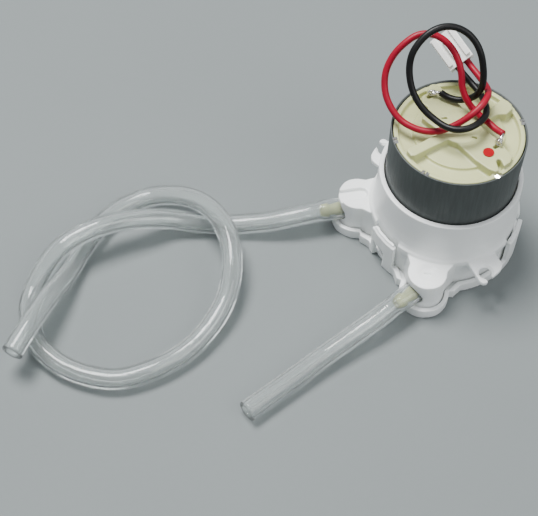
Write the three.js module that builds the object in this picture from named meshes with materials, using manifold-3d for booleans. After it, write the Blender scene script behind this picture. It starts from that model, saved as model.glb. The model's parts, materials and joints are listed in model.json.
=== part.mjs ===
// Peristaltic pump: a planetary-geared DC motor on a three-roller pump head.
// Millimetres, +Z up along the motor axis. The origin is the pump axis on the bottom face of the
// cover, and -Y points midway between the two tube ports.
import * as THREE from "three";
import { mergeVertices } from "three/addons/utils/BufferGeometryUtils.js";
import Module from "manifold-3d";

const wasm = await Module();
wasm.setup();

// ---- driving dimensions -------------------------------------------------------------------
const GAP = 0.3; // between pieces that touch on the real pump
const COVER_R = 19.7, COVER_FLOOR = 1.5, LIP_TOP = 3.0;
const WALL_R = 18.0, TRACK_R = 16.3, HEAD_BOTTOM = 1.8, ROOF_BOTTOM = 9.6, ROOF_TOP = 11.1;
const FLANGE_R = 18.8, FLANGE_BOTTOM = 9.9, COLLAR_R_TOP = 17.5, COLLAR_TOP = 24.1;
// the collar's outside, flaring down to the flange
const FLARE = [[FLANGE_R, 11.6], [18.7, 11.8], [18.3, 12.2], [18.0, 13.2], [17.75, 16]];
const GEARBOX_R = 15.9, SEAT_Z = 19.0, SEAT_R = 16.3;
const LOBE_R = 4.75, LOBE_ORBIT = 21.9, LOBE_ANGLES = [229, 311], COVER_LOBE_R = 6.1;
const EAR_ANGLES = [189, 351], EAR_HALF = 3.8, EAR_HOLE = [22.4, -1.2], EAR_HOLE_R = 1.6, EAR_SLOT_HALF = 0.9;
const LATCH_ANGLES = [270, 30, 150], LATCH_SPAN = 25, LATCH_TOP = 11.2;
const TUBE_OD = 5.2, TUBE_ID = 3.0, TUBE_Z = 5.9, BARB_R = 1.3;
const PORTS = [{ at: LOBE_ANGLES[0], aim: -113 }, { at: LOBE_ANGLES[1], aim: -86 }];
const CAN_R = 16.0, CAN_WALL = 0.8, CAN_BOTTOM = 19.2, CAN_TOP = 39.0;
const SHAFT_R = 1.0, BORE_R = 1.25, PIN_BORE_R = 1.1;
const HEAD_SIDES = 40; // facets round the head, cover and can
const GEAR_MODULE = 0.5, SUN_TEETH = 12, PLANET_TEETH = 18, RING_TEETH = 48;
const PLANET_ORBIT = (GEAR_MODULE * (SUN_TEETH + PLANET_TEETH)) / 2;
const ROLLER_R = 3.6, ROLLER_ORBIT = 10.9, ROLLER_LOW = 3.4, ROLLER_HIGH = 7.9;
const STRIP_R = 15.4, STRIP_HALF = 0.6, STRIP_HALF_H = 3.1;
const WIRE_R = 0.8;
const TURN = Math.PI * 2, RAD = Math.PI / 180;

// ---- materials ----------------------------------------------------------------------------
const paint = (color, roughness, metalness = 0) =>
  new THREE.MeshStandardMaterial({ color, roughness, metalness });
const WHITE = paint(0xe6e7e2, 0.42), CREAM = paint(0xe8dcb8, 0.45), STEEL_DARK = paint(0x53574f, 0.4, 0.85);
const STEEL = paint(0xb9bcc0, 0.25, 1), BRASS = paint(0xc9a24a, 0.3, 1), COPPER = paint(0xb5622f, 0.35, 0.9);
const SILICONE = paint(0xdcdedb, 0.2), NYLON = paint(0xf1f0ea, 0.4), ACETAL = paint(0xf4f2e8, 0.38);
const RED = paint(0xc80f28, 0.4), BLACK = paint(0x17181a, 0.45), FERRITE = paint(0x2c2b2b, 0.8);
const TIN = paint(0xcfcfca, 0.22, 1), IRON = paint(0x7c7f83, 0.45, 0.9), GLUE = paint(0xcf2418, 0.5);

const pump = new THREE.Group();

// ---- solids -------------------------------------------------------------------------------
function solid(geometry) {
  const bare = geometry.index ? geometry.toNonIndexed() : geometry;
  const g = new THREE.BufferGeometry().setAttribute("position", bare.getAttribute("position"));
  const merged = mergeVertices(g, 1e-3);
  return new wasm.Manifold(
    new wasm.Mesh({
      numProp: 3,
      vertProperties: new Float32Array(merged.attributes.position.array),
      triVerts: new Uint32Array(merged.index.array),
    }),
  );
}

function geometryOf(manifold) {
  const mesh = manifold.getMesh();
  const g = new THREE.BufferGeometry();
  g.setAttribute("position", new THREE.BufferAttribute(new Float32Array(mesh.vertProperties), 3));
  g.setIndex(new THREE.BufferAttribute(new Uint32Array(mesh.triVerts), 1));
  return g.toNonIndexed();
}

function place(name, shape, material) {
  const g = shape instanceof THREE.BufferGeometry ? shape : geometryOf(shape);
  g.computeVertexNormals();
  const mesh = new THREE.Mesh(g, material);
  mesh.name = name;
  pump.add(mesh);
  return mesh;
}

// A profile of [r, z] points, counter-clockwise in the r-z plane, turned about +Z.
function turned(profile, sides = 40) {
  const points = profile.map(([r, z]) => new THREE.Vector2(r, z));
  if (profile[0][0] > 0) points.push(points[0].clone());
  return solid(new THREE.LatheGeometry(points, sides).rotateX(Math.PI / 2));
}

const rod = (r, z0, z1, sides = 20) => turned([[0, z0], [r, z0], [r, z1], [0, z1]], sides);
const ring = (r0, r1, z0, z1, sides = 40) => turned([[r0, z0], [r1, z0], [r1, z1], [r0, z1]], sides);

// A flat outline of [x, y] points raised from z0 to z1.
function plate(outline, z0, z1) {
  const shape = new THREE.Shape(outline.map(([x, y]) => new THREE.Vector2(x, y)));
  const g = new THREE.ExtrudeGeometry(shape, { depth: z1 - z0, bevelEnabled: false });
  return solid(g.translate(0, 0, z0));
}

function block(x0, x1, y0, y1, z0, z1) {
  const g = new THREE.BoxGeometry(x1 - x0, y1 - y0, z1 - z0);
  return solid(g.translate((x0 + x1) / 2, (y0 + y1) / 2, (z0 + z1) / 2));
}

const turn = (s, degrees) => s.rotate([0, 0, degrees]);
const at = (s, x, y, z = 0) => s.translate([x, y, z]);
const onRing = (s, r, degrees) => at(s, r * Math.cos(degrees * RAD), r * Math.sin(degrees * RAD));
const join = (first, ...rest) => rest.reduce((sum, s) => sum.add(s), first);
const cut = (first, ...rest) => rest.reduce((left, s) => left.subtract(s), first);

// A sector of a ring between two angles, in degrees.
function sector(r0, r1, a0, a1, z0, z1, steps = 8) {
  const arc = (r, i) => {
    const a = (a0 + ((a1 - a0) * i) / steps) * RAD;
    return [r * Math.cos(a), r * Math.sin(a)];
  };
  const outline = [];
  for (let i = 0; i <= steps; i++) outline.push(arc(r1, i));
  for (let i = steps; i >= 0; i--) outline.push(arc(r0, i));
  return plate(outline, z0, z1);
}

// A rod of radius r from point a to point b.
function bar(a, b, r, sides = 12) {
  const from = new THREE.Vector3(...a), to = new THREE.Vector3(...b);
  const g = new THREE.CylinderGeometry(r, r, from.distanceTo(to), sides);
  const aim = new THREE.Quaternion().setFromUnitVectors(
    new THREE.Vector3(0, 1, 0), to.clone().sub(from).normalize());
  g.applyQuaternion(aim).translate(...from.add(to).multiplyScalar(0.5).toArray());
  return solid(g);
}

// A closed skin over a row of equal loops of points, fanned shut at both ends.
function skin(loops) {
  const out = [];
  for (let i = 0; i + 1 < loops.length; i++)
    for (let k = 0; k < loops[i].length; k++) {
      const n = (k + 1) % loops[i].length;
      out.push(loops[i][k], loops[i][n], loops[i + 1][n]);
      out.push(loops[i][k], loops[i + 1][n], loops[i + 1][k]);
    }
  const first = loops[0], last = loops[loops.length - 1];
  for (let k = 1; k + 1 < first.length; k++) {
    out.push(first[0], first[k + 1], first[k]);
    out.push(last[0], last[k], last[k + 1]);
  }
  return new THREE.BufferGeometry().setFromPoints(out);
}

// A round cord or hose through hand-placed points, hollow when bore is given.
function cord(points, r, sides, steps, bore = 0) {
  const path = new THREE.CatmullRomCurve3(points.map((p) => new THREE.Vector3(...p)), false, "centripetal");
  const circle = (radius) => Array.from({ length: sides }, (_, k) =>
    new THREE.Vector2(radius * Math.cos((TURN * k) / sides), radius * Math.sin((TURN * k) / sides)));
  const section = new THREE.Shape(circle(r));
  if (bore) section.holes.push(new THREE.Path(circle(bore)));
  return new THREE.ExtrudeGeometry(section, { steps, extrudePath: path, bevelEnabled: false });
}

// ---- involute gears -----------------------------------------------------------------------
// Outline of a spur gear whose tooth 0 is centred on +X. inward turns it into a ring gear's hole.
function gearOutline(teeth, inward = false) {
  const pitch = (GEAR_MODULE * teeth) / 2, base = pitch * Math.cos(20 * RAD);
  const tip = inward ? pitch + 1.1 * GEAR_MODULE : pitch + 0.92 * GEAR_MODULE;
  const root = inward ? pitch - 0.86 * GEAR_MODULE : pitch - 1.2 * GEAR_MODULE;
  const inv = (r) => (r <= base ? 0 : Math.tan(Math.acos(base / r)) - Math.acos(base / r));
  const backlash = 0.055;
  const half = (r) => Math.PI / (2 * teeth) + inv(pitch) - inv(r) + ((inward ? 1 : -1) * backlash) / pitch;
  const flank = [Math.max(root, base * 1.001), tip];
  const outline = [];
  for (let i = 0; i < teeth; i++) {
    const c = (TURN * i) / teeth;
    const put = (r, a) => outline.push([r * Math.cos(a), r * Math.sin(a)]);
    if (root < flank[0]) put(root, c - half(flank[0]));
    for (const r of flank) put(r, c - half(r));
    for (const r of [...flank].reverse()) put(r, c + half(r));
    if (root < flank[0]) put(root, c + half(flank[0]));
  }
  return outline;
}

// ---- tube ports ---------------------------------------------------------------------------
function portPoint(port, s, z = TUBE_Z) {
  const a = port.at * RAD, d = port.aim * RAD;
  return [LOBE_ORBIT * Math.cos(a) + s * Math.cos(d), LOBE_ORBIT * Math.sin(a) + s * Math.sin(d), z];
}

const portBar = (port, s0, s1, r, sides = 12) => bar(portPoint(port, s0), portPoint(port, s1), r, sides);

// The pump tube runs from one port round the track to the other, pressed flat where rollers reach.
function pumpTube(extra, ends) {
  const plan = [];
  const [west, east] = PORTS;
  plan.push(portPoint(east, -ends), portPoint(east, -3));
  plan.push([13.5, -11.3, TUBE_Z], [13.15, -9.35, TUBE_Z]);
  for (let a = -30; a <= 210; a += 10)
    plan.push([STRIP_R * Math.cos(a * RAD), STRIP_R * Math.sin(a * RAD), TUBE_Z]);
  plan.push([-13.05, -9.5, TUBE_Z], [-12.75, -11.5, TUBE_Z]);
  plan.push(portPoint(west, -3), portPoint(west, -ends));
  const points = plan.map((p) => new THREE.Vector3(...p));
  const loops = points.map((c, i) => {
    const ahead = points[Math.min(i + 1, points.length - 1)], behind = points[Math.max(i - 1, 0)];
    const along = ahead.clone().sub(behind).normalize();
    const side = new THREE.Vector3(-along.y, along.x, 0);
    const r = Math.hypot(c.x, c.y);
    const half = THREE.MathUtils.clamp(r - STRIP_R + STRIP_HALF, STRIP_HALF, TUBE_OD / 2 - 0.1) + extra;
    const flat = THREE.MathUtils.clamp((r - STRIP_R) / 2.4, 0, 1);
    const tall = STRIP_HALF_H + (TUBE_OD / 2 - 0.1 - STRIP_HALF_H) * flat + extra;
    const list = [];
    for (let k = 0; k < 10; k++) {
      const a = (TURN * (k + 0.5)) / 10;
      list.push(c.clone().addScaledVector(side, half * Math.cos(a))
        .add(new THREE.Vector3(0, 0, tall * Math.sin(a))));
    }
    return list;
  });
  return solid(skin(loops));
}

// ---- pump head ----------------------------------------------------------------------------
// Flat outline of a port lobe with a flared neck back into the round head.
function lobe(angle, r, z0, z1, reach) {
  const round = onRing(rod(r, z0, z1, 28), LOBE_ORBIT, angle);
  const neck = plate([[reach - 1.5, -r - 2.6], [reach + 1.2, -r - 1.1], [LOBE_ORBIT - 1.6, -r + 0.1],
    [LOBE_ORBIT, -r], [LOBE_ORBIT, r], [LOBE_ORBIT - 1.6, r - 0.1], [reach + 1.2, r + 1.1],
    [reach - 1.5, r + 2.6]], z0, z1);
  return join(round, turn(neck, angle));
}

// A mounting tab with a longer prong, a counterbored hole and a slot from the hole to its end.
function ear(angle) {
  const [x, y] = EAR_HOLE;
  const outline = [[17.2, -EAR_HALF], [24.4, -EAR_HALF], [25.0, -3.4], [25.2, -2.7], [25.0, -1.9],
    [24.4, -0.4], [23.8, 1.4], [23.3, 2.6], [22.6, 3.4], [21.8, EAR_HALF], [17.2, EAR_HALF]];
  const tab = cut(
    plate(outline, FLANGE_BOTTOM, ROOF_TOP),
    at(rod(EAR_HOLE_R, FLANGE_BOTTOM - 1, ROOF_TOP + 1), x, y),
    at(rod(EAR_HOLE_R + 0.5, ROOF_TOP - 0.4, ROOF_TOP + 1), x, y),
    block(x, 27, y - EAR_SLOT_HALF, y + EAR_SLOT_HALF, FLANGE_BOTTOM - 1, ROOF_TOP + 1));
  return turn(tab, angle);
}

function pumpHousing() {
  let s = turned([
    [3.2, ROOF_BOTTOM], [TRACK_R, ROOF_BOTTOM], [TRACK_R, HEAD_BOTTOM], [WALL_R, HEAD_BOTTOM],
    [WALL_R, FLANGE_BOTTOM], [FLANGE_R, FLANGE_BOTTOM], ...FLARE,
    [COLLAR_R_TOP, COLLAR_TOP], [SEAT_R, COLLAR_TOP], [SEAT_R, SEAT_Z], [GEARBOX_R, SEAT_Z],
    [GEARBOX_R, ROOF_TOP], [3.2, ROOF_TOP]], HEAD_SIDES);
  for (const a of LOBE_ANGLES) s = s.add(cut(lobe(a, LOBE_R, HEAD_BOTTOM, ROOF_TOP, 16.4),
    rod(TRACK_R, HEAD_BOTTOM - 1, ROOF_BOTTOM, HEAD_SIDES), rod(GEARBOX_R, ROOF_BOTTOM + 0.5, 30, 24)));
  for (const a of EAR_ANGLES) s = s.add(ear(a));
  // shallow recesses round the head wall, between the lobes, ears and latches
  for (const [a0, a1] of [[3, 14], [46, 66], [71, 91], [96, 116], [121, 134], [166, 177], [198, 209]])
    s = s.subtract(sector(17.3, 19.5, a0, a1, 3.6, 9.2));
  const clear = LATCH_SPAN / 2 + 1.1;
  for (const a of LATCH_ANGLES)
    s = s.subtract(sector(WALL_R + 0.05, 21, a - clear, a + clear, 0, FLARE[3][1]));
  // dish with a slit on the outlet lobe, open channel along the port on the inlet lobe
  const dish = turned([[0, 10.5], [1.4, 10.6], [2.7, 11.2], [2.7, 12], [0, 12]], 20);
  const slit = block(-0.9, 0.9, -0.25, 0.25, 9.9, 12);
  s = cut(s, onRing(dish, LOBE_ORBIT, LOBE_ANGLES[1]), onRing(turn(slit, 50), LOBE_ORBIT, LOBE_ANGLES[1]));
  const groove = [[-1.7, -7], [1.7, -7], [1.7, 0.9], [1.2, 2.1], [0, 2.6], [-1.2, 2.1], [-1.7, 0.9]];
  const channel = plate(groove, ROOF_TOP - 1, 12);
  s = s.subtract(onRing(turn(channel, PORTS[0].aim + 90), LOBE_ORBIT, LOBE_ANGLES[0]));
  s = s.subtract(pumpTube(GAP + 0.02, 0.6));
  for (const p of PORTS) s = s.subtract(portBar(p, -1.4, 8, TUBE_OD / 2 + GAP, 20));
  return s;
}

function baseCover() {
  const outline = (grow, z0, z1) => {
    let s = rod(COVER_R - 1.4 + grow, z0, z1, HEAD_SIDES);
    for (const a of LOBE_ANGLES) s = s.add(lobe(a, LOBE_R + grow, z0, z1, 18.3 + grow * 0.4));
    return s;
  };
  let s = cut(outline(1.4, 0, LIP_TOP), outline(GAP, COVER_FLOOR, LIP_TOP + 1));
  // shaft journal recess in a raised boss, and a chamfer-like step round the bottom edge
  s = s.add(cut(rod(2.6, COVER_FLOOR - 0.2, 1.9, 32), rod(1.6, 1.0, 3, 32)));
  s = s.subtract(rod(1.6, 0.8, 3, 32));
  for (const a of LATCH_ANGLES) {
    const a0 = a - LATCH_SPAN / 2, a1 = a + LATCH_SPAN / 2;
    s = s.add(sector(18.55, 19.75, a0, a1, 0.4, LATCH_TOP - 0.7));
    s = s.add(sector(18.55, 19.3, a0 + 1.5, a1 - 1.5, LATCH_TOP - 0.9, LATCH_TOP));
  }
  // a notch through the lip under the middle latch
  return s.subtract(sector(18.35, 22, 261, 273.5, -1, 6));
}

place("pump_housing", pumpHousing(), WHITE);
place("base_cover", baseCover(), WHITE);

// ---- tubes and barbs ----------------------------------------------------------------------
function barb(port) {
  let s = join(portBar(port, -4.2, 9.6, BARB_R - 0.2), portBar(port, -0.4, 0.6, 2.35));
  for (const c of [-3.6, 7.6]) s = s.add(portBar(port, c - 0.5, c + 0.5, BARB_R));
  return s.subtract(portBar(port, -6, 11, 0.6, 12));
}

function strip() {
  let s = pumpTube(0, 0.8);
  for (const p of PORTS) s = s.subtract(portBar(p, 1, -4.6, TUBE_ID / 2, 20));
  return s;
}

place("pump_tube", strip(), SILICONE);
place("inlet_barb", barb(PORTS[0]), CREAM);
place("outlet_barb", barb(PORTS[1]), CREAM);

// The inlet tube is tied in one loose overhand knot and ends in a bare cut.
const INLET_ROUTE = [
  portPoint(PORTS[0], 1), portPoint(PORTS[0], 5.5), portPoint(PORTS[0], 10.2),
  [-21.1, -32.6, 5.2], [-23.6, -37.1, 4.0], [-26.5, -41.4, 3.0], [-29.0, -45.4, 2.7], [-34.0, -52.2, 2.9],
  [-38.0, -58.4, 4.6], [-39.6, -63.6, 6.8], [-41.3, -69.3, 8.3], [-42.6, -74.6, 8.9], [-43.3, -80.6, 8.8],
  [-43.0, -86.6, 8.0], [-41.6, -92.2, 5.4], [-38.9, -97.0, 3.1], [-36.2, -99.6, 2.7], [-31.8, -101.8, 2.7],
  [-25.8, -103.4, 2.7], [-18.3, -102.1, 2.7], [-11.6, -98.3, 2.7], [-6.1, -92.4, 2.7], [-3.7, -84.8, 2.7],
  [-3.3, -75.9, 2.7], [-5.2, -67.7, 3.3], [-8.7, -60.5, 4.8], [-13.0, -55.7, 6.8], [-18.2, -52.1, 8.5],
  [-23.6, -50.0, 9.1], [-30.0, -49.3, 9.0], [-36.9, -50.2, 7.5], [-43.9, -53.5, 4.6], [-48.0, -58.8, 3.0],
  [-49.0, -64.3, 2.7], [-48.7, -68.6, 2.7], [-46.8, -74.6, 2.7], [-43.2, -81.0, 2.8], [-38.2, -87.8, 3.8],
  [-32.9, -95.0, 7.0], [-28.0, -102.0, 8.7], [-22.6, -110.3, 8.5],
];
const OUTLET_ROUTE = [
  portPoint(PORTS[1], 1), portPoint(PORTS[1], 5.5), portPoint(PORTS[1], 10.2),
  [15.5, -31.2, 5.3], [15.8, -40.2, 4.1], [16.2, -49.3, 3.2], [17.0, -58.4, 2.75],
  [17.6, -65.9, 2.7], [18.1, -71.3, 2.7],
];
place("inlet_tube", cord(INLET_ROUTE, TUBE_OD / 2, 10, 52, TUBE_ID / 2), SILICONE);
place("outlet_tube", cord(OUTLET_ROUTE, TUBE_OD / 2, 10, 11, TUBE_ID / 2), SILICONE);

// ---- roller rotor and planet carrier ------------------------------------------------------
const THIRDS = [90, 210, 330];
const SCREW_AT = THIRDS.map((a) => a + 60), SPACER_R = 0.95, SPACER_ORBIT = 5.6;

// Plates that hold the rollers: three arms joined by a round middle.
function rotorPlate(z0, z1, bore) {
  let s = rod(8.6, z0, z1, 24);
  for (const a of THIRDS) {
    const tip = onRing(rod(2.6, z0, z1, 14), ROLLER_ORBIT, a);
    const arm = turn(block(5, ROLLER_ORBIT, -2.6, 2.6, z0, z1), a);
    s = join(s, tip, arm).subtract(onRing(rod(SHAFT_R + 0.15, z0 - 1, z1 + 1, 10), ROLLER_ORBIT, a));
  }
  for (const a of SCREW_AT) s = s.subtract(onRing(rod(SPACER_R + 0.2, z0 - 1, z1 + 1, 8), SPACER_ORBIT, a));
  return s.subtract(rod(bore, z0 - 1, z1 + 1, 24));
}

const carrier = cut(
  join(rod(10.9, 11.4, 12.6, 36), rod(2.8, 2.3, 12, 20), rod(1.2, 1.2, 3, 12)),
  ...THIRDS.map((a) => onRing(rod(1.1, 11, 13, 14), PLANET_ORBIT, a)));
place("planet_carrier", carrier, ACETAL);
place("rotor_upper_plate", rotorPlate(8.2, 9.3, 2.9), ACETAL);
place("rotor_lower_plate", rotorPlate(2.0, 3.1, 2.9), ACETAL);
THIRDS.forEach((a, i) => {
  const pin = onRing(rod(SHAFT_R, 11.45, 16.6, 14), PLANET_ORBIT, a);
  place(`planet_pin_${i + 1}`, pin, STEEL);
  const toothing = plate(gearOutline(PLANET_TEETH), 12.9, 16.4);
  const half = 180 / PLANET_TEETH; // a gap faces the sun tooth, and a gap faces the ring tooth
  const planet = turn(toothing, a + half).subtract(rod(PIN_BORE_R, 12, 17, 14));
  place(`planet_gear_${i + 1}`, onRing(planet, PLANET_ORBIT, a), ACETAL);
  const axle = onRing(rod(SHAFT_R, 2.05, 9.25, 14), ROLLER_ORBIT, a);
  place(`roller_pin_${i + 1}`, axle, STEEL);
  const roller = turned([[PIN_BORE_R, ROLLER_LOW], [3.3, ROLLER_LOW], [ROLLER_R, ROLLER_LOW + 0.4],
    [ROLLER_R, ROLLER_HIGH - 0.4], [3.3, ROLLER_HIGH], [PIN_BORE_R, ROLLER_HIGH]], 28);
  place(`roller_${i + 1}`, onRing(roller, ROLLER_ORBIT, a), ACETAL);
  place(`rotor_screw_${i + 1}`, onRing(rod(SPACER_R, 2.1, 9.2, 12), SPACER_ORBIT, SCREW_AT[i]), STEEL);
});

// ---- gearbox ------------------------------------------------------------------------------
const ringTurn = 180 / RING_TEETH; // a ring tooth stands at each planet's outer gap
const ringHole = turn(plate(gearOutline(RING_TEETH, true), 11, 18), ringTurn);
place("ring_gear", rod(15.6, 11.4, 17.0, 48).subtract(ringHole), ACETAL);
place("sun_gear", cut(plate(gearOutline(SUN_TEETH), 12.9, 16.6), rod(SHAFT_R + 0.1, 12, 17, 20)), BRASS);
const FACE_SCREWS = [-8, 8];
let motorPlate = cut(rod(15.7, 17.3, 18.9, 36), rod(3.3, 17, 19.5, 16));
for (const x of FACE_SCREWS)
  motorPlate = cut(motorPlate, at(rod(1.1, 17, 19.5, 12), x, 0), at(rod(2.1, 17, 18.1, 16), x, 0));
place("motor_plate", motorPlate, ACETAL);
FACE_SCREWS.forEach((x, i) => {
  const screw = join(rod(1.8, 17.35, 17.9, 16), rod(0.85, 17.5, 20.6, 10));
  place(`motor_plate_screw_${i + 1}`, at(screw, x, 0), STEEL);
});

// ---- motor --------------------------------------------------------------------------------
const CAN_INNER = CAN_R - CAN_WALL, BEARING_HOLE_R = 2.9, RIM_INNER = 15.65, RIM_SEAT = 36.2;
let can = turned([
  [BEARING_HOLE_R, CAN_BOTTOM], [CAN_R - 0.7, CAN_BOTTOM], [CAN_R, CAN_BOTTOM + 0.7], [CAN_R, CAN_TOP - 0.15],
  [CAN_R - 0.15, CAN_TOP], [RIM_INNER, CAN_TOP], [RIM_INNER, RIM_SEAT], [CAN_INNER, RIM_SEAT],
  [CAN_INNER, CAN_BOTTOM + CAN_WALL], [BEARING_HOLE_R, CAN_BOTTOM + CAN_WALL]], HEAD_SIDES);
// four stakes, where the rim is nicked and folded onto the end cap
const STAKES = [-113, -69, -2.5, 67.4];
for (const a of STAKES) can = can.subtract(turn(block(14.8, 16.4, -0.7, 0.7, CAN_TOP - 0.45, 40), a));
for (const x of FACE_SCREWS) can = can.subtract(at(rod(1.15, 19, 21, 20), x, 0));
place("motor_can", can, STEEL_DARK);
[0, 180].forEach((a, i) => place(`magnet_${i + 1}`, sector(12.7, 14.9, a - 62, a + 62, 22, 34, 20), FERRITE));
place("front_bearing", ring(BORE_R, 2.6, 19.4, 21.5, 18), BRASS);
place("rear_bearing", ring(BORE_R, 2.4, 36.7, 38.2, 18), BRASS);
place("motor_shaft", rod(SHAFT_R, 13.0, 38.4, 24), STEEL);

const POLES = [90, 210, 330];
const CORE_LOW = 24, CORE_HIGH = 32;
let core = rod(4, CORE_LOW, CORE_HIGH, 36);
for (const a of POLES)
  core = join(core, turn(block(2, 11, -2, 2, CORE_LOW, CORE_HIGH), a),
    sector(10.2, 12.1, a - 52, a + 52, CORE_LOW, CORE_HIGH, 14));
place("armature_core", core.subtract(rod(SHAFT_R + 0.1, 23, 33, 24)), IRON);
POLES.forEach((a, i) => {
  const coil = cut(block(5.3, 9.3, -3.5, 3.5, 22.8, 33.2), block(5, 10, -2.3, 2.3, 23.7, 32.3));
  place(`coil_${i + 1}`, turn(coil, a), COPPER);
});
let commutator = ring(SHAFT_R + 0.1, 2.6, 34.2, 36.2, 24);
for (const a of [0, 120, 240]) commutator = commutator.subtract(turn(block(2.0, 3, -0.15, 0.15, 34, 37), a));
place("commutator", commutator, COPPER);

// End cap: a recessed floor inside the can's rim, a raised disc, and a star of two platforms that
// carry the terminals and two arms.
const CAP_BOTTOM = RIM_SEAT + GAP, CAP_R = RIM_INNER - GAP;
const CAP_FLOOR = 37.7, DISC_TOP = 38.4, PLATFORM_TOP = 40.1, ARM_TOP = 40.3;
const TERMINALS = [[-11.6, 0.6], [8.9, 4.0]];
const FRONT_ARM = [[-1.3, -3], [-1.5, -10.5], [-1.8, -13.8], [-1.3, -14.5], [0.4, -14.6], [0.9, -13.8],
  [1.0, -9.3], [1.4, -3]];
const BACK_ARM = [[1.4, 3], [1.7, 9.8], [2.8, 11.6], [2.3, 13.8], [1.1, 14.6], [-0.4, 14.5], [-1.4, 13.2],
  [-0.7, 9.9], [-1.1, 3]];
const RIGHT_PLATFORM = [[1.0, -4.4], [3.4, -3.4], [9.3, -3.0], [13.2, -2.1], [14.5, -1.3], [14.6, -0.4],
  [13.2, 0.3], [12.1, 0.8], [11.9, 1.5], [12.5, 1.9], [14.4, 1.3], [14.2, 3.2], [13.3, 4.8], [11.8, 4.8],
  [8.2, 5.3], [2.0, 4.4]];
const LEFT_PLATFORM = [[-1.5, 4.4], [-9.2, 4.4], [-12.9, 4.0], [-14.1, 3.5], [-14.4, 2.4], [-13.9, 1.4],
  [-12.8, 0.6], [-12.6, -1.4], [-11.0, -2.7], [-9.0, -2.3], [-7.3, -5.5], [-5.2, -5.2], [-2.0, -4.4]];

function endCap() {
  let s = turned([[0, CAP_BOTTOM], [CAP_R, CAP_BOTTOM], [CAP_R, 38.85], [14.3, 38.85], [14.1, CAP_FLOOR],
    [0, CAP_FLOOR]], HEAD_SIDES);
  s = s.add(rod(10.7, CAP_FLOOR - 0.3, DISC_TOP, 40)).add(rod(4.7, CAP_FLOOR - 0.3, ARM_TOP, 28));
  for (const arm of [FRONT_ARM, BACK_ARM]) s = s.add(plate(arm, CAP_FLOOR - 0.3, ARM_TOP));
  for (const platform of [RIGHT_PLATFORM, LEFT_PLATFORM])
    s = s.add(plate(platform, CAP_FLOOR - 0.3, PLATFORM_TOP));
  for (const [x, y, a] of [[-4.3, -1.2, 60], [4.1, 0.9, 40]])
    s = s.subtract(at(turn(block(-0.7, 0.7, -0.25, 0.25, 38.9, 41), a), x, y));
  s = cut(s, rod(BORE_R + 0.1, 36, 36.75, 24), rod(2.5, 36, 38.5, 32));
  for (const [x, y] of TERMINALS) s = s.subtract(at(block(-0.45, 0.45, -1.3, 1.3, 36, 41), x, y));
  return s;
}

place("end_cap", endCap(), CREAM);
["terminal_negative", "terminal_positive"].forEach((name, i) => {
  const [x, y] = TERMINALS[i];
  const blade = join(block(-0.2, 0.2, -1.1, 1.1, 36.1, 40.6), block(-0.2, 1.3, -0.9, 0.9, 40.5, 40.8));
  place(name, at(blade, x, y), TIN);
});
[-1, 1].forEach((side, i) => {
  const leaf = join(block(2.95, 3.2, -4.2, 3.0, 34.5, 35.9), block(2.95, 3.2, -4.2, -3.0, 34.5, 36.2));
  place(i ? "brush_positive" : "brush_negative", turn(leaf, side < 0 ? 180 : 0), BRASS);
});
place("polarity_dot", at(rod(1.3, PLATFORM_TOP + 0.02, PLATFORM_TOP + 0.25, 16), 9.4, 0.8), GLUE);
const groundLug = join(
  block(-0.2, 0.2, -2.1, 2.1, DISC_TOP + 0.05, 40.4), block(-0.2, 1.0, 0.6, 2.1, 40.2, 40.5));
place("ground_lug", at(turn(groundLug, -24), -2.9, 9.8), TIN);

// ---- wires and plug -----------------------------------------------------------------------
const BLACK_ROUTE = [
  [-10.0, 1.8, 41.8], [-8.2, 2.7, 41.4], [-6.5, 3.7, 41.5], [-5.3, 4.8, 41.9], [-4.2, 5.9, 42.8],
  [-3.1, 6.6, 44.6], [-2.6, 7.2, 47.0], [-2.9, 7.5, 49.6], [-4.0, 7.8, 52.4], [-5.6, 7.9, 55.2],
  [-7.7, 7.6, 57.4], [-9.9, 6.6, 59.0], [-12.0, 4.7, 60.0], [-13.4, 2.3, 60.2], [-14.1, -0.5, 59.6],
  [-14.2, -3.2, 58.0], [-13.7, -5.5, 55.8], [-12.6, -6.8, 53.0], [-10.5, -7.6, 50.0], [-8.1, -7.7, 47.6],
  [-5.3, -7.3, 46.0], [-2.4, -6.5, 45.1], [0.5, -5.6, 44.8], [2.7, -4.2, 44.9], [4.0, -2.0, 45.1],
  [4.2, 0.7, 45.1], [3.2, 3.9, 44.6], [0.9, 6.5, 43.5], [-2.3, 8.5, 42.3], [-5.7, 9.7, 41.6],
  [-8.8, 9.7, 42.0], [-11.07, 9.03, 43.31], [-13.67, 8.85, 44.33],
];
const RED_ROUTE = [
  [8.0, 5.9, 42.1], [5.7, 5.7, 41.6], [3.0, 5.6, 41.5], [0.3, 5.0, 41.9], [-1.9, 4.2, 43.2],
  [-3.7, 3.7, 45.0], [-5.4, 3.7, 47.2], [-6.8, 4.2, 49.6], [-8.6, 4.5, 51.8], [-11.1, 4.4, 53.8],
  [-14.2, 3.5, 55.2], [-16.3, 1.5, 56.0], [-17.7, -0.9, 55.8], [-18.3, -3.9, 54.4], [-18.4, -7.0, 51.8],
  [-17.4, -9.5, 48.6], [-14.9, -11.1, 45.4], [-11.9, -11.5, 43.2], [-8.7, -11.1, 41.8], [-5.6, -9.9, 41.3],
  [-2.9, -7.9, 41.2], [-1.0, -5.4, 41.6], [0.2, -3.0, 42.7], [1.1, -0.7, 44.2], [1.6, 1.5, 45.7],
  [1.4, 3.9, 46.7], [0.2, 6.6, 46.7], [-2.0, 9.0, 45.4], [-5.0, 10.4, 44.5], [-8.1, 11.0, 44.3],
  [-10.72, 11.16, 44.58], [-13.33, 10.98, 45.6],
];
place("black_wire", cord(BLACK_ROUTE, WIRE_R, 8, 42), BLACK);
place("red_wire", cord(RED_ROUTE, WIRE_R, 8, 42), RED);

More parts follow.
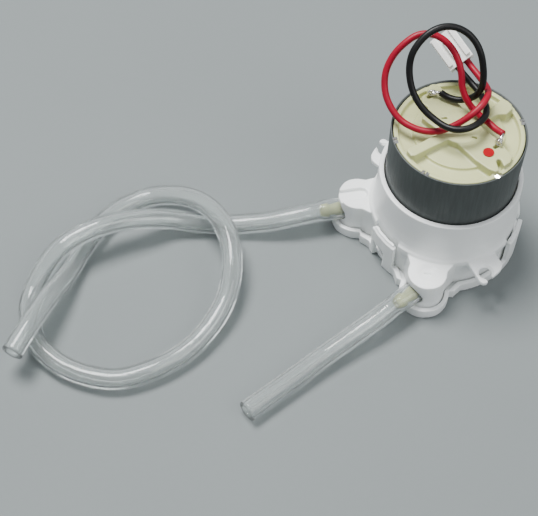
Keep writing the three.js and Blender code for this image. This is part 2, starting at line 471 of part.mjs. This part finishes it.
// Two-pin nylon plug held up by its wires: local +X is the mating end, the wires enter at -X.
const PLUG_AT = new THREE.Vector3(-12.57, 9.98, 44.6);
const PLUG_AIM = new THREE.Vector3(-0.929, -0.065, 0.365).normalize();
const PLUG_FACE = new THREE.Vector3(0.475, -0.506, 0.72), PLUG_LENGTH = 8.4, PIN_OFFSET = 1.25;

function plugFrame() {
  const z = PLUG_FACE.clone().addScaledVector(PLUG_AIM, -PLUG_FACE.dot(PLUG_AIM)).normalize();
  const y = new THREE.Vector3().crossVectors(z, PLUG_AIM);
  return new THREE.Matrix4().makeBasis(PLUG_AIM, y, z).setPosition(PLUG_AT);
}
const inPlug = (s) => s.transform(plugFrame().toArray());

function plug() {
  let s = block(0, PLUG_LENGTH, -3.2, 3.2, -2.1, 2.1);
  s = s.subtract(block(3.2, PLUG_LENGTH + 1, -2.7, 2.7, -1.6, 1.6));
  for (const y of [-PIN_OFFSET, PIN_OFFSET]) s = s.subtract(block(-1, 4, y - 1.02, y + 1.02, -1.02, 1.02));
  for (const y of [-2.4, 2.4]) s = s.add(block(0.8, PLUG_LENGTH, y - 0.55, y + 0.55, 2.0, 2.7));
  return inPlug(s.add(block(2.0, 6.6, -0.9, 0.9, 2.0, 2.9)));
}
place("connector_housing", plug(), NYLON);
[-PIN_OFFSET, PIN_OFFSET].forEach((y, i) => {
  const crimp = block(1.35, 3.2, y - 0.75, y + 0.75, -0.75, 0.75);
  const pin = crimp.add(block(3.0, 7.2, y - 0.32, y + 0.32, -0.32, 0.32));
  place(`crimp_contact_${i + 1}`, inPlug(pin), TIN);
});

export default pump;
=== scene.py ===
import json
import math

import bmesh
import bpy
from mathutils import Matrix, Vector


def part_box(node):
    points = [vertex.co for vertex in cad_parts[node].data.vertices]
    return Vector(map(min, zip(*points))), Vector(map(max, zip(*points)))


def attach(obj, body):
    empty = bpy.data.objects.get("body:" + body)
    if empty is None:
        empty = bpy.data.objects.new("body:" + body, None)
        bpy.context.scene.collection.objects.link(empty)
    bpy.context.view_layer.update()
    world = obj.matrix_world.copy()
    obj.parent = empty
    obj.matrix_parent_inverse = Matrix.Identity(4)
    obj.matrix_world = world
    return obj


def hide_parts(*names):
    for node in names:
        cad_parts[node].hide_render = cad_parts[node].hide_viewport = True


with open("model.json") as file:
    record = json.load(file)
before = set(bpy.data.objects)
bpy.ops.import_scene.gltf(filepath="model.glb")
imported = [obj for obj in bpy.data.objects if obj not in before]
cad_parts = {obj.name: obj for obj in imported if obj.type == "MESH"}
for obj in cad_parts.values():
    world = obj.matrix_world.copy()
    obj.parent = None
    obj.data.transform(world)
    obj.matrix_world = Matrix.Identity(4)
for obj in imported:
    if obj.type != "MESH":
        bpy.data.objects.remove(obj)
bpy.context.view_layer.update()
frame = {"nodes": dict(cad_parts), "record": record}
nodes = frame["nodes"]
MM = 0.001

# ---- the frame's own sizes, in metres ------------------------------------------------------
CAN_LOW, CAN_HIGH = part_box("motor_can")
CAN_R, CAN_BOTTOM, CAN_TOP = CAN_HIGH.x, CAN_LOW.z, CAN_HIGH.z
TUBE_R, BORE_R, WIRE_R = 2.6 * MM, 1.5 * MM, 0.8 * MM
LOBE_ORBIT, TUBE_Z = 21.9 * MM, 5.9 * MM
PORTS = {"inlet": (229, -113), "outlet": (311, -86)}  # where the lobe stands and where it aims
CAN_WALL, RIM_WALL, RIM_DEPTH, SHAFT_HOLE_R = 0.8, 0.35, 2.8, 2.9  # the can's, in millimetres
CAD_FACETS = 40  # flats round the head, the cover and the end cap


def vectors(points):
    return [Vector(p) * MM for p in points]


def port_point(port, along):
    at, aim = (math.radians(a) for a in PORTS[port])
    return Vector((LOBE_ORBIT * math.cos(at) + along * MM * math.cos(aim),
                   LOBE_ORBIT * math.sin(at) + along * MM * math.sin(aim), TUBE_Z))


# ---- camera --------------------------------------------------------------------------------
CAMERA_AT = (127.9, -139.5, 257.5)  # millimetres
CAMERA_ANGLES = (56.0, 55.92, 0.49)  # azimuth, elevation and roll, in degrees
CAMERA_LENS = 81.57


def make_camera():
    azimuth, elevation, roll = (math.radians(a) for a in CAMERA_ANGLES)
    side = Vector((math.cos(azimuth), math.sin(azimuth), 0))
    ahead = Vector((-math.sin(azimuth) * math.cos(elevation),
                    math.cos(azimuth) * math.cos(elevation), -math.sin(elevation)))
    up = side.cross(ahead)
    right = math.cos(roll) * side + math.sin(roll) * up
    up = math.cos(roll) * up - math.sin(roll) * side
    data = bpy.data.cameras.new("camera")
    data.sensor_width, data.lens = 36.0, CAMERA_LENS
    data.clip_start, data.clip_end = 0.01, 20
    camera = bpy.data.objects.new("camera", data)
    bpy.context.scene.collection.objects.link(camera)
    turned = Matrix((right, up, -ahead)).transposed().to_4x4()
    camera.matrix_world = Matrix.Translation(Vector(CAMERA_AT) * MM) @ turned
    bpy.context.scene.camera = camera


# ---- materials -----------------------------------------------------------------------------
def material(name, color, roughness, metallic=0.0, mottle=0.06, mottle_scale=60.0,
             bump=0.02, bump_scale=900.0, smear=0.08, stretch=(1, 1, 1), **sockets):
    """A surface with soft colour mottling, uneven gloss and a fine grain."""
    made = bpy.data.materials.new(name)
    made.use_nodes = True
    tree = made.node_tree
    shader = tree.nodes["Principled BSDF"]
    add, link = tree.nodes.new, tree.links.new
    coordinates, mapping = add("ShaderNodeTexCoord"), add("ShaderNodeMapping")
    mapping.inputs["Scale"].default_value = stretch
    link(coordinates.outputs["Object"], mapping.inputs["Vector"])

    def noise(scale, detail):
        node = add("ShaderNodeTexNoise")
        node.inputs["Scale"].default_value, node.inputs["Detail"].default_value = scale, detail
        link(mapping.outputs["Vector"], node.inputs["Vector"])
        return node

    cloud, grain = noise(mottle_scale, 5.0), noise(bump_scale, 3.0)
    ramp = add("ShaderNodeValToRGB")
    ramp.color_ramp.elements[0].position, ramp.color_ramp.elements[1].position = 0.3, 0.7
    ramp.color_ramp.elements[0].color = (*[c * (1 - mottle) for c in color], 1)
    ramp.color_ramp.elements[1].color = (*[min(1, c * (1 + mottle)) for c in color], 1)
    link(cloud.outputs["Fac"], ramp.inputs["Fac"])
    link(ramp.outputs["Color"], shader.inputs["Base Color"])
    spread = add("ShaderNodeMapRange")
    spread.inputs["To Min"].default_value = max(0.02, roughness - smear)
    spread.inputs["To Max"].default_value = min(1.0, roughness + smear)
    link(grain.outputs["Fac"], spread.inputs["Value"])
    link(spread.outputs["Result"], shader.inputs["Roughness"])
    relief = add("ShaderNodeBump")
    relief.inputs["Strength"].default_value, relief.inputs["Distance"].default_value = bump, 0.0002
    link(grain.outputs["Fac"], relief.inputs["Height"])
    link(relief.outputs["Normal"], shader.inputs["Normal"])
    shader.inputs["Metallic"].default_value = metallic
    for socket, value in sockets.items():
        shader.inputs[socket.replace("_", " ")].default_value = value
    return made


WHITE = material("white moulding", (0.88, 0.9, 0.885), 0.38, mottle=0.03, bump=0.05,
                 Subsurface_Weight=0.25, Subsurface_Radius=(0.004, 0.004, 0.0036),
                 Subsurface_Scale=0.5)
CREAM = material("cream nylon", (0.5, 0.515, 0.26), 0.42, mottle=0.09, mottle_scale=90, bump=0.08,
                 Subsurface_Weight=0.2, Subsurface_Radius=(0.003, 0.0027, 0.0015),
                 Subsurface_Scale=0.5)
CAN = material("drawn can steel", (0.07, 0.079, 0.077), 0.5, metallic=0.35, mottle=0.13,
               mottle_scale=1500, bump=0.25, bump_scale=2200, smear=0.12, stretch=(1, 1, 0.08))
STEEL = material("ground steel", (0.6, 0.61, 0.62), 0.28, metallic=1.0)
BRASS = material("brass", (0.72, 0.53, 0.24), 0.3, metallic=1.0)
COPPER = material("enamelled copper", (0.55, 0.24, 0.1), 0.35, metallic=0.9, mottle=0.2,
                  mottle_scale=500)
SILICONE = material("clear silicone", (0.94, 0.97, 0.96), 0.06, mottle=0.01, mottle_scale=40,
                    bump=0.0, bump_scale=300, smear=0.02, Transmission_Weight=0.94, IOR=1.38)
NYLON = material("white nylon", (0.82, 0.82, 0.78), 0.34, mottle=0.04, Subsurface_Weight=0.2,
                 Subsurface_Radius=(0.003, 0.003, 0.0025), Subsurface_Scale=0.5)
ACETAL = material("acetal", (0.84, 0.83, 0.78), 0.35, mottle=0.03)
RED = material("red wire skin", (0.27, 0.0, 0.016), 0.42, mottle=0.1, mottle_scale=300, bump=0.06,
               Specular_IOR_Level=0.3)
BLACK = material("black wire skin", (0.003, 0.003, 0.003), 0.42, mottle=0.25, mottle_scale=300,
                 bump=0.06, Specular_IOR_Level=0.3)
FERRITE = material("ferrite", (0.06, 0.06, 0.06), 0.8, mottle=0.3, mottle_scale=400, bump=0.3)
TIN = material("tinned brass", (0.72, 0.71, 0.68), 0.2, metallic=1.0, mottle=0.14,
               mottle_scale=700, bump=0.35, bump_scale=1400)
IRON = material("laminated iron", (0.3, 0.31, 0.33), 0.45, metallic=0.9, stretch=(0.05, 0.05, 4),
                mottle=0.3, mottle_scale=500)
LACQUER = material("red lacquer", (0.33, 0.0, 0.006), 0.25, mottle=0.12, mottle_scale=500, bump=0.1,
                   Specular_IOR_Level=0.3)

FINISH = {
    "white_abs": WHITE, "cream_nylon": CREAM, "can_steel": CAN, "steel": STEEL, "brass": BRASS,
    "copper": COPPER, "silicone": SILICONE, "nylon": NYLON, "acetal": ACETAL, "red_pvc": RED,
    "black_pvc": BLACK, "ferrite": FERRITE, "tin": TIN, "iron": IRON, "red_paint": LACQUER,
}
SLOT_OF = {s["node"]: s["material_slot"] for s in frame["record"]["subparts"]}


# ---- meshes --------------------------------------------------------------------------------
def add_piece(name, mesh, slot, *replaced, body="stator", smooth=True):
    piece = bpy.data.objects.new(name, mesh)
    bpy.context.scene.collection.objects.link(piece)
    mesh.materials.clear()
    mesh.materials.append(FINISH[slot])
    if smooth:
        mesh.shade_smooth()
    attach(piece, body)
    if replaced:
        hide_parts(*replaced)
    return piece


def spline(points, count, fine=24):
    """Evenly spaced points on the centripetal Catmull-Rom curve through the given ones."""
    points = [2 * points[0] - points[1], *points, 2 * points[-1] - points[-2]]
    dense = []
    for p0, p1, p2, p3 in zip(points, points[1:], points[2:], points[3:]):
        knots = [0.0]
        for a, b in ((p0, p1), (p1, p2), (p2, p3)):
            knots.append(knots[-1] + math.sqrt((b - a).length))
        t0, t1, t2, t3 = knots
        for i in range(fine):
            t = t1 + (t2 - t1) * i / fine
            a1 = p0 * ((t1 - t) / (t1 - t0)) + p1 * ((t - t0) / (t1 - t0))
            a2 = p1 * ((t2 - t) / (t2 - t1)) + p2 * ((t - t1) / (t2 - t1))
            a3 = p2 * ((t3 - t) / (t3 - t2)) + p3 * ((t - t2) / (t3 - t2))
            b1 = a1 * ((t2 - t) / (t2 - t0)) + a2 * ((t - t0) / (t2 - t0))
            b2 = a2 * ((t3 - t) / (t3 - t1)) + a3 * ((t - t1) / (t3 - t1))
            dense.append(b1 * ((t2 - t) / (t2 - t1)) + b2 * ((t - t1) / (t2 - t1)))
    dense.append(points[-2])
    lengths = [0.0]
    for a, b in zip(dense, dense[1:]):
        lengths.append(lengths[-1] + (b - a).length)
    even, k = [], 0
    for i in range(count):
        want = lengths[-1] * i / (count - 1)
        while k + 2 < len(lengths) and lengths[k + 1] < want:
            k += 1
        part = (want - lengths[k]) / max(1e-12, lengths[k + 1] - lengths[k])
        even.append(dense[k].lerp(dense[k + 1], min(1.0, part)))
    return even, lengths[-1]


def sweep(name, path, radii, sides=32, inner=None):
    """A tube mesh round a path; radii and inner are one number or one per point."""
    def per_point(value):
        return value if isinstance(value, list) else [value] * len(path)

    mesh, grid = bmesh.new(), []
    normal = Vector((0, 0, 1))
    outer_radii, inner_radii = per_point(radii), per_point(inner) if inner else None
    for i, centre in enumerate(path):
        along = (path[min(i + 1, len(path) - 1)] - path[max(i - 1, 0)]).normalized()
        normal = (normal - along * normal.dot(along)).normalized()
        binormal = along.cross(normal)
        for_point = []
        for source in filter(None, (outer_radii, inner_radii)):
            loop = [mesh.verts.new(centre + source[i] * (math.cos(a) * normal + math.sin(a) * binormal))
                    for a in (math.tau * k / sides for k in range(sides))]
            for_point.append(loop)
        grid.append(for_point)
    for level in range(2 if inner else 1):
        for a, b in zip(grid, grid[1:]):
            for k in range(sides):
                n = (k + 1) % sides
                face = (a[level][k], a[level][n], b[level][n], b[level][k])
                mesh.faces.new(face if level == 0 else face[::-1])
    for end, turned in ((grid[0], True), (grid[-1], False)):
        if inner:
            for k in range(sides):
                n = (k + 1) % sides
                face = (end[0][k], end[0][n], end[1][n], end[1][k])
                mesh.faces.new(face[::-1] if turned else face)
        else:
            mesh.faces.new(end[0][::-1] if turned else end[0])
    data = bpy.data.meshes.new(name)
    mesh.normal_update()
    mesh.to_mesh(data)
    mesh.free()
    return data


def lathe(name, profile, origin, axis, sides=96):
    """A closed profile of (radius, height) pairs turned about an axis, sizes in millimetres."""
    axis = Vector(axis).normalized()
    first = axis.orthogonal().normalized()
    second = axis.cross(first)
    mesh, rings = bmesh.new(), []
    for r, h in profile:
        centre = Vector(origin) + axis * (h * MM)
        if r < 1e-6:
            rings.append([mesh.verts.new(centre)] * sides)
            continue
        rings.append([mesh.verts.new(centre + r * MM * (math.cos(a) * first + math.sin(a) * second))
                      for a in (math.tau * k / sides for k in range(sides))])
    closed = rings if profile[0][0] < 1e-6 else [*rings, rings[0]]
    for a, b in zip(closed, closed[1:]):
        for k in range(sides):
            n = (k + 1) % sides
            face = list(dict.fromkeys((a[k], a[n], b[n], b[k])))
            if len(face) > 2:
                mesh.faces.new(face)
    data = bpy.data.meshes.new(name)
    mesh.normal_update()
    mesh.to_mesh(data)
    mesh.free()
    return data


def moulded(node, voxel, relax):
    """A fine copy of a CAD node with softened edges and its flats round the axis made circular."""
    source = nodes[node].data.copy()
    work = bpy.data.objects.new(node + "_work", source)
    bpy.context.scene.collection.objects.link(work)
    remesh = work.modifiers.new("remesh", "REMESH")
    remesh.mode, remesh.voxel_size, remesh.use_smooth_shade = "VOXEL", voxel * MM, True
    smooth = work.modifiers.new("smooth", "SMOOTH")
    smooth.factor, smooth.iterations = 0.5, relax
    evaluated = work.evaluated_get(bpy.context.evaluated_depsgraph_get())
    data = bpy.data.meshes.new_from_object(evaluated)
    bpy.data.objects.remove(work)
    step = math.tau / CAD_FACETS
    for vertex in data.vertices:
        offset = math.atan2(vertex.co.y, vertex.co.x) % step - step / 2
        factor = math.cos(offset) / math.cos(step / 2)
        vertex.co.x *= factor
        vertex.co.y *= factor
    return data


# ---- tubes and wires -----------------------------------------------------------------------
INLET_ROUTE = [port_point("inlet", s) for s in (1, 5.5, 10.2)] + vectors([
    (-21.1, -32.6, 5.2), (-23.6, -37.1, 4.0), (-26.5, -41.4, 3.0), (-29.0, -45.4, 2.7), (-34.0, -52.2, 2.9),
    (-38.0, -58.4, 4.6), (-39.6, -63.6, 6.8), (-41.3, -69.3, 8.3), (-42.6, -74.6, 8.9), (-43.3, -80.6, 8.8),
    (-43.0, -86.6, 8.0), (-41.6, -92.2, 5.4), (-38.9, -97.0, 3.1), (-36.2, -99.6, 2.7), (-31.8, -101.8, 2.7),
    (-25.8, -103.4, 2.7), (-18.3, -102.1, 2.7), (-11.6, -98.3, 2.7), (-6.1, -92.4, 2.7), (-3.7, -84.8, 2.7),
    (-3.3, -75.9, 2.7), (-5.2, -67.7, 3.3), (-8.7, -60.5, 4.8), (-13.0, -55.7, 6.8), (-18.2, -52.1, 8.5),
    (-23.6, -50.0, 9.1), (-30.0, -49.3, 9.0), (-36.9, -50.2, 7.5), (-43.9, -53.5, 4.6), (-48.0, -58.8, 3.0),
    (-49.0, -64.3, 2.7), (-48.7, -68.6, 2.7), (-46.8, -74.6, 2.7), (-43.2, -81.0, 2.8), (-38.2, -87.8, 3.8),
    (-32.9, -95.0, 7.0), (-28.0, -102.0, 8.7), (-22.6, -110.3, 8.5),
])
OUTLET_ROUTE = [port_point("outlet", s) for s in (1, 5.5, 10.2)] + vectors([
    (15.5, -31.2, 5.3), (15.8, -40.2, 4.1), (16.2, -49.3, 3.2), (17.0, -58.4, 2.75),
    (17.6, -65.9, 2.7), (18.1, -71.3, 2.7),
])
BLACK_ROUTE = vectors([
    (-10.0, 1.8, 41.8), (-8.2, 2.7, 41.4), (-6.5, 3.7, 41.5), (-5.3, 4.8, 41.9), (-4.2, 5.9, 42.8),
    (-3.1, 6.6, 44.6), (-2.6, 7.2, 47.0), (-2.9, 7.5, 49.6), (-4.0, 7.8, 52.4), (-5.6, 7.9, 55.2),
    (-7.7, 7.6, 57.4), (-9.9, 6.6, 59.0), (-12.0, 4.7, 60.0), (-13.4, 2.3, 60.2), (-14.1, -0.5, 59.6),
    (-14.2, -3.2, 58.0), (-13.7, -5.5, 55.8), (-12.6, -6.8, 53.0), (-10.5, -7.6, 50.0), (-8.1, -7.7, 47.6),
    (-5.3, -7.3, 46.0), (-2.4, -6.5, 45.1), (0.5, -5.6, 44.8), (2.7, -4.2, 44.9), (4.0, -2.0, 45.1),
    (4.2, 0.7, 45.1), (3.2, 3.9, 44.6), (0.9, 6.5, 43.5), (-2.3, 8.5, 42.3), (-5.7, 9.7, 41.6),
    (-8.8, 9.7, 42.0), (-11.07, 9.03, 43.31), (-13.67, 8.85, 44.33),
])
RED_ROUTE = vectors([
    (8.0, 5.9, 42.1), (5.7, 5.7, 41.6), (3.0, 5.6, 41.5), (0.3, 5.0, 41.9), (-1.9, 4.2, 43.2),
    (-3.7, 3.7, 45.0), (-5.4, 3.7, 47.2), (-6.8, 4.2, 49.6), (-8.6, 4.5, 51.8), (-11.1, 4.4, 53.8),
    (-14.2, 3.5, 55.2), (-16.3, 1.5, 56.0), (-17.7, -0.9, 55.8), (-18.3, -3.9, 54.4), (-18.4, -7.0, 51.8),
    (-17.4, -9.5, 48.6), (-14.9, -11.1, 45.4), (-11.9, -11.5, 43.2), (-8.7, -11.1, 41.8), (-5.6, -9.9, 41.3),
    (-2.9, -7.9, 41.2), (-1.0, -5.4, 41.6), (0.2, -3.0, 42.7), (1.1, -0.7, 44.2), (1.6, 1.5, 45.7),
    (1.4, 3.9, 46.7), (0.2, 6.6, 46.7), (-2.0, 9.0, 45.4), (-5.0, 10.4, 44.5), (-8.1, 11.0, 44.3),
    (-10.72, 11.16, 44.58), (-13.33, 10.98, 45.6),
])


STRETCHED_LENGTH, STRETCH_TAPER = 9.0, 1.5  # millimetres of tube pushed over its barb
STRETCH_OUTSIDE, STRETCH_INSIDE = 0.12 * MM, 0.4 * MM


def make_tube(name, node, route, count):
    path, length = spline(route, count)
    along = [length / MM * i / (count - 1) for i in range(count)]
    stretch = [max(0.0, min(1.0, (STRETCHED_LENGTH - s) / STRETCH_TAPER)) for s in along]
    outer = [TUBE_R + STRETCH_OUTSIDE * part for part in stretch]
    inner = [BORE_R + STRETCH_INSIDE * part for part in stretch]
    tube = add_piece(name, sweep(name, path, outer, sides=36, inner=inner), "silicone", node)


def make_wire(name, node, route, slot, count=260):
    path, length = spline(route, count)
    wire = add_piece(name, sweep(name, path, WIRE_R, sides=20), slot, node)


def make_floor():
    reach, under = 3.0, -0.00005
    corners = [(x, y, under) for x, y in ((-reach, -reach), (reach, -reach), (reach, reach), (-reach, reach))]
    data = bpy.data.meshes.new("floor")
    data.from_pydata(corners, [], [(0, 1, 2, 3)])
    floor = bpy.data.objects.new("floor", data)
    bpy.context.scene.collection.objects.link(floor)
    data.materials.append(material("pale table", (0.165, 0.185, 0.185), 0.75, mottle=0.03,
                                   mottle_scale=8, bump=0.02, smear=0.05))


def area_light(name, place, target, size, power):
    data = bpy.data.lights.new(name, "AREA")
    data.shape, data.size, data.energy = "DISK", size, power
    lamp = bpy.data.objects.new(name, data)
    bpy.context.scene.collection.objects.link(lamp)
    lamp.location = place
    lamp.rotation_euler = (Vector(target) - Vector(place)).to_track_quat("-Z", "Y").to_euler()


def make_lights():
    world = bpy.data.worlds.new("studio")
    bpy.context.scene.world = world
    world.use_nodes = True
    sky = world.node_tree.nodes["Background"].inputs
    sky["Color"].default_value = (0.9, 0.95, 1.0, 1)
    sky["Strength"].default_value = 0.5
    middle = (-0.01, -0.03, 0.02)
    area_light("key", (-0.27, -0.08, 0.78), middle, 0.35, 13.0)
    area_light("fill", (0.55, 0.2, 0.6), middle, 0.6, 3.0)


make_camera()
make_tube("inlet_hose", "inlet_tube", INLET_ROUTE, 420)
make_tube("outlet_hose", "outlet_tube", OUTLET_ROUTE, 120)
make_wire("black_lead", "black_wire", BLACK_ROUTE, "black_pvc")
make_wire("red_lead", "red_wire", RED_ROUTE, "red_pvc")
make_floor()
make_lights()


# ---- head, cover and end cap ---------------------------------------------------------------
def make_mouldings():
    for name, node, slot, relax in (
            ("head_moulding", "pump_housing", "white_abs", 1),
            ("cover_moulding", "base_cover", "white_abs", 1),
            ("cap_moulding", "end_cap", "cream_nylon", 3)):
        add_piece(name, moulded(node, 0.2, relax), slot, node)


def quarter(centre_r, centre_h, radius, first, step):
    """Profile points of a rounded corner, from a first angle over a quarter turn, in degrees."""
    return [(centre_r + radius * math.cos(a), centre_h + radius * math.sin(a))
            for a in (math.radians(d) for d in range(first, first + 91, step))]


def make_can():
    r, low, top = CAN_R / MM, CAN_BOTTOM / MM, CAN_TOP / MM
    corner, edge = 0.7, 0.15
    profile = [
        (SHAFT_HOLE_R, low),
        *quarter(r - corner, low + corner, corner, -90, 15),
        *quarter(r - edge, top - edge, edge, 0, 30),
        (r - RIM_WALL, top), (r - RIM_WALL, top - RIM_DEPTH), (r - CAN_WALL, top - RIM_DEPTH),
        (r - CAN_WALL, low + CAN_WALL), (SHAFT_HOLE_R, low + CAN_WALL),
    ]
    shell = lathe("can_shell", profile, (0, 0, 0), (0, 0, 1), 192)
    add_piece("can_shell", shell, "can_steel", "motor_can")


def make_barbs():
    """Double-ended barbs: a small end for the pump tube, a stop flange and three teeth outside."""
    bore, stem, tooth = 0.6, 1.4, 1.85
    for port in PORTS:
        axis = port_point(port, 1) - port_point(port, 0)
        profile = [(bore, -4.2), (1.0, -4.2), (1.3, -3.2), (1.1, -3.1), (1.1, -0.4), (2.3, -0.4),
                   (2.3, 0.6), (1.15, 0.6)]
        for tip in (3.4, 6.4, 9.6):
            profile += [(stem, tip - 2.2), (tooth, tip - 2.0), (stem, tip)]
        profile += [(bore, 9.6)]
        fine = lathe(port, profile, port_point(port, 0), axis, 48)
        add_piece(f"{port}_barb_fine", fine, "cream_nylon", f"{port}_barb")


STAKES = (-113, -69, -2.5, 67.4)  # degrees round the can


def make_stakes():
    """Bright folds of the can's rim over the edge of the end cap."""
    mesh = bmesh.new()
    place = Matrix.Translation((15.35 * MM, 0, CAN_TOP - 0.1 * MM))
    size = Matrix.Diagonal((1.1 * MM, 0.8 * MM, 0.28 * MM, 1))
    for angle in STAKES:
        spot = Matrix.Rotation(math.radians(angle), 4, "Z") @ place
        for shift, twist in ((-0.55, 0.35), (0.5, -0.4)):
            tab = Matrix.Translation((0, shift * MM, 0)) @ Matrix.Rotation(twist, 4, "X")
            bmesh.ops.create_cube(mesh, size=1, matrix=spot @ tab @ size)
    data = bpy.data.meshes.new("rim_stakes")
    mesh.to_mesh(data)
    mesh.free()
    add_piece("rim_stakes", data, "tin", "motor_can", smooth=False)


# Each lug's node, its place, the direction of its eye in degrees, and the lead soldered to it.
LUG_FOOT, LUG_EYE, EYE_R, EYE_WIRE_R, STRAND_R, BEAD_R = 40.15, 40.95, 0.75, 0.27, 0.42, 0.72
LUGS = [
    ("terminal_negative", (-11.6, 0.6), 60, BLACK_ROUTE),
    ("terminal_positive", (8.9, 4.0), 20, RED_ROUTE),
    ("ground_lug", (-2.9, 9.8), -24, None),
]


def make_lug(node, at, aim, route):
    """A soldered eye: ring, blade, the stripped end of the lead and a solder bead."""
    foot, eye = Vector((*at, LUG_FOOT)) * MM, Vector((*at, LUG_EYE)) * MM
    across = Vector((math.cos(math.radians(aim)), math.sin(math.radians(aim)), 0))
    loop = [eye + EYE_R * MM * (math.cos(a) * across + Vector((0, 0, math.sin(a))))
            for a in (math.tau * k / 20 for k in range(21))]
    parts = [sweep("eye", loop, EYE_WIRE_R * MM, 10),
             sweep("blade", [foot, foot.lerp(eye, 0.3)], 0.55 * MM, 4)]
    bead = eye - across * 0.5 * MM
    if route:
        start = route[0]
        parts.append(sweep("strand", [eye, eye.lerp(start, 0.5), start], STRAND_R * MM, 12))
        bead = eye.lerp(start, 0.25)
    mesh = bmesh.new()
    for part in parts:
        mesh.from_mesh(part)
        bpy.data.meshes.remove(part)
    bmesh.ops.create_uvsphere(mesh, u_segments=20, v_segments=12, radius=BEAD_R * MM,
                              matrix=Matrix.Translation(bead) @ Matrix.Diagonal((1, 1.1, 0.75, 1)))
    data = bpy.data.meshes.new(node + "_lug")
    mesh.to_mesh(data)
    mesh.free()
    add_piece(node + "_lug", data, "tin", node)


make_mouldings()
make_can()
make_stakes()
make_barbs()
for lug in LUGS:
    make_lug(*lug)


def finish_cad_nodes():
    """Gives every shown CAD node its finish, soft edges and smooth flats."""
    for name, node in nodes.items():
        node.data.materials.clear()
        node.data.materials.append(FINISH[SLOT_OF[name]])
        if node.hide_render:
            continue
        bevel = node.modifiers.new("edges", "BEVEL")
        bevel.width, bevel.segments, bevel.limit_method = 0.12 * MM, 2, "ANGLE"
        bevel.angle_limit = math.radians(32)
        node.modifiers.new("normals", "WEIGHTED_NORMAL")


finish_cad_nodes()
